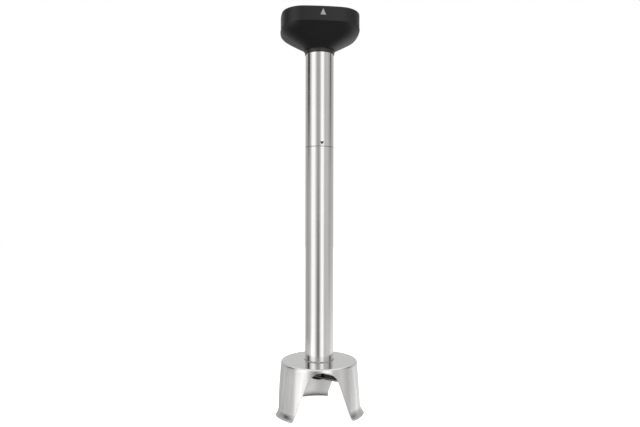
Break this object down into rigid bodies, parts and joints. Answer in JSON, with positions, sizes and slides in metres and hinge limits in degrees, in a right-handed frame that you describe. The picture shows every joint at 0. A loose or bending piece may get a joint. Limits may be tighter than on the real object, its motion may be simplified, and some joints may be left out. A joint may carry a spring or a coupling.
{
  "type": "immersion blender shaft",
  "caption": "Detachable blending shaft: twist-lock coupling head, steel tube with inner spindle, footed bell guard and rotary blade.",
  "frame": {"origin": "on the spindle axis in the plane of the motor seat, the top of the coupling head", "axes": "+Z along the spindle axis, up towards the motor unit; -Y towards the alignment mark and the front arch of the guard"},
  "size_m": [0.101, 0.0951, 0.4445],
  "materials": {
    "black_polymer": "fine moulded texture, satin",
    "mark_polymer": "smooth",
    "black_rubber": "matt",
    "drive_polymer": "smooth",
    "guide_polymer": "natural acetal",
    "polished_steel": "polished along the tube",
    "drawn_steel": "polished drawn sheet",
    "turned_steel": "turned",
    "bearing_steel": "ground",
    "bronze": "sintered",
    "fastener_steel": "plain",
    "blade_steel": "ground edges"
  },
  "bodies": {
    "shaft_body": {"coupling_shell": "black_polymer", "socket_deck": "black_polymer", "alignment_mark": "mark_polymer", "seat_gasket": "black_rubber", "neck_ferrule": "black_rubber", "neck_o_ring": "black_rubber", "shaft_seal": "black_rubber", "spindle_guides": "guide_polymer", "outer_tube": "polished_steel", "bell_guard": "drawn_steel", "guard_weld": "drawn_steel", "head_flange": "turned_steel", "bearing_housing": "turned_steel", "seal_housing": "turned_steel", "seal_cap": "turned_steel", "lock_ring": "turned_steel", "bearing_outer_ring": "bearing_steel", "bearing_shields": "bearing_steel", "bearing_circlip": "bearing_steel", "seal_spring": "bearing_steel", "lower_bush": "bronze", "deck_screws": "fastener_steel", "head_screws": "fastener_steel"},
    "rotor": {"drive_spindle": "turned_steel", "drive_hub": "drive_polymer", "hub_pin": "turned_steel", "bearing_inner_ring": "bearing_steel", "spindle_circlip": "bearing_steel", "blade": "blade_steel", "blade_hub": "turned_steel", "blade_washer": "fastener_steel", "blade_nut": "fastener_steel"},
    "ball_cage": {"bearing_balls": "bearing_steel", "bearing_cage": "guide_polymer"}
  },
  "joints": [
    {"name": "rotor_spin", "type": "hinge", "parent": "shaft_body", "child": "rotor", "pos_m": [0, 0, -0.2], "axis": [0, 0, 1], "continuous": true},
    {"name": "cage_spin", "type": "hinge", "parent": "shaft_body", "child": "ball_cage", "pos_m": [0, 0, -0.03], "axis": [0, 0, 1], "continuous": true}
  ],
  "couplings": [
    {"joint": "cage_spin", "follows": "rotor_spin", "ratio": 0.3677}
  ]
}
